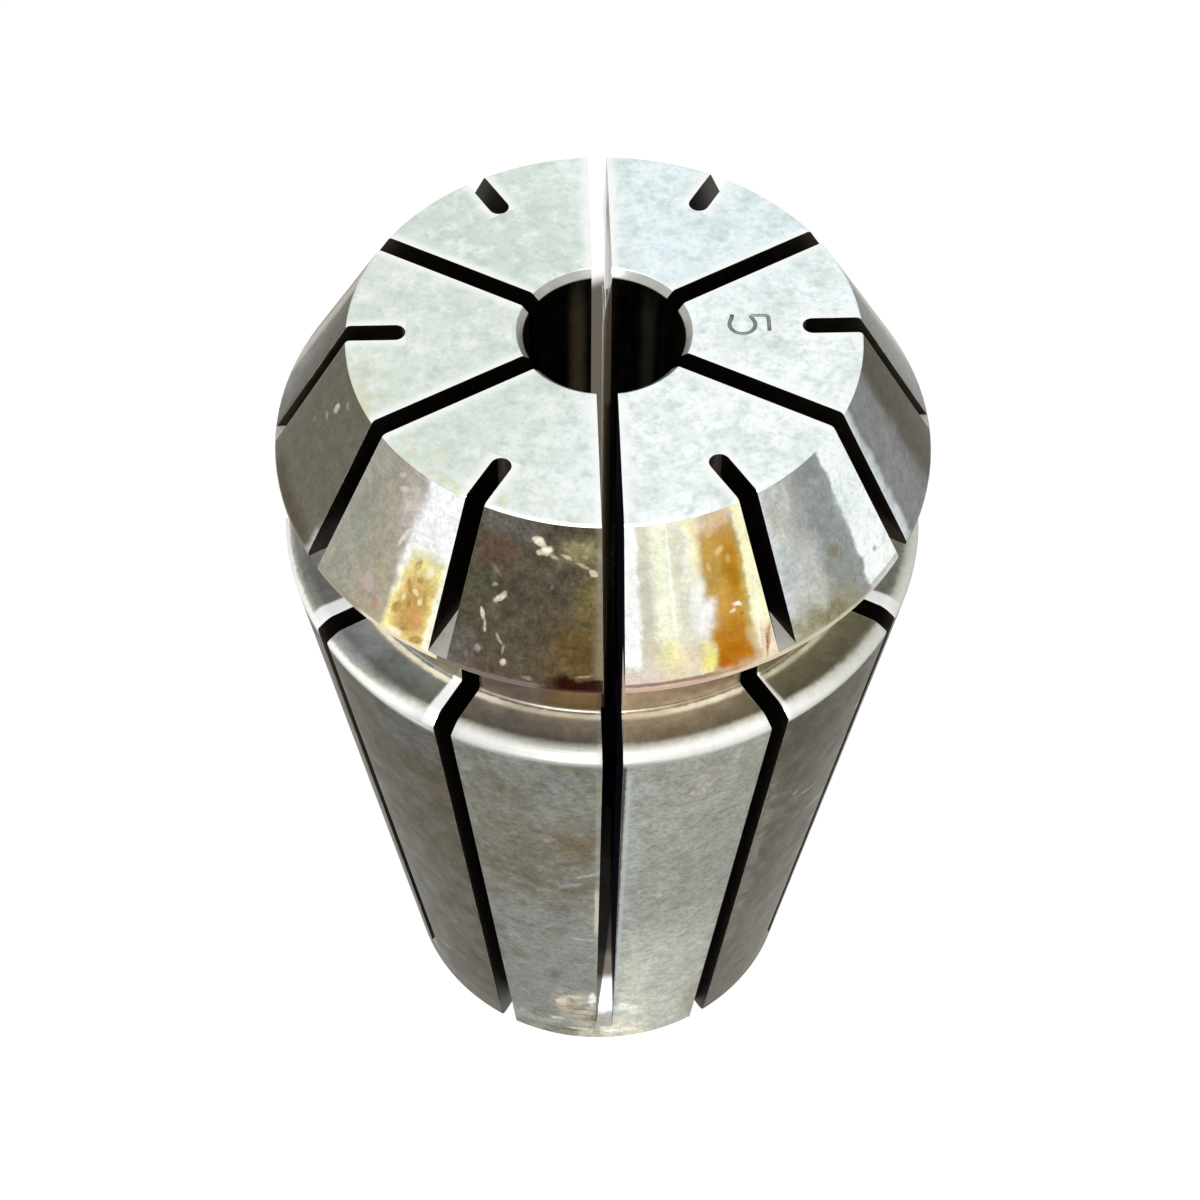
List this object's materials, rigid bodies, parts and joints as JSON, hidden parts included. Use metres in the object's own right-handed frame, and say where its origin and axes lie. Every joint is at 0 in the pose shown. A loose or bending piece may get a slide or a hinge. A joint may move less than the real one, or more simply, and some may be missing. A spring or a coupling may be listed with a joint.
{
  "type": "er collet",
  "caption": "Slotted spring-steel collet with a nose cone, nut groove, long taper and straight bore for a round shank.",
  "frame": {"origin": "centre of the small back face, which the collet stands on", "axes": "+Z along the bore from the back face to the front face; a front slot faces -Y"},
  "size_m": [0.021, 0.021, 0.0315],
  "materials": {
    "collet_steel": "ground spring steel, dulled and stained with oil and light rust"
  },
  "bodies": {
    "root": {"collet_body": "collet_steel"}
  },
  "joints": []
}
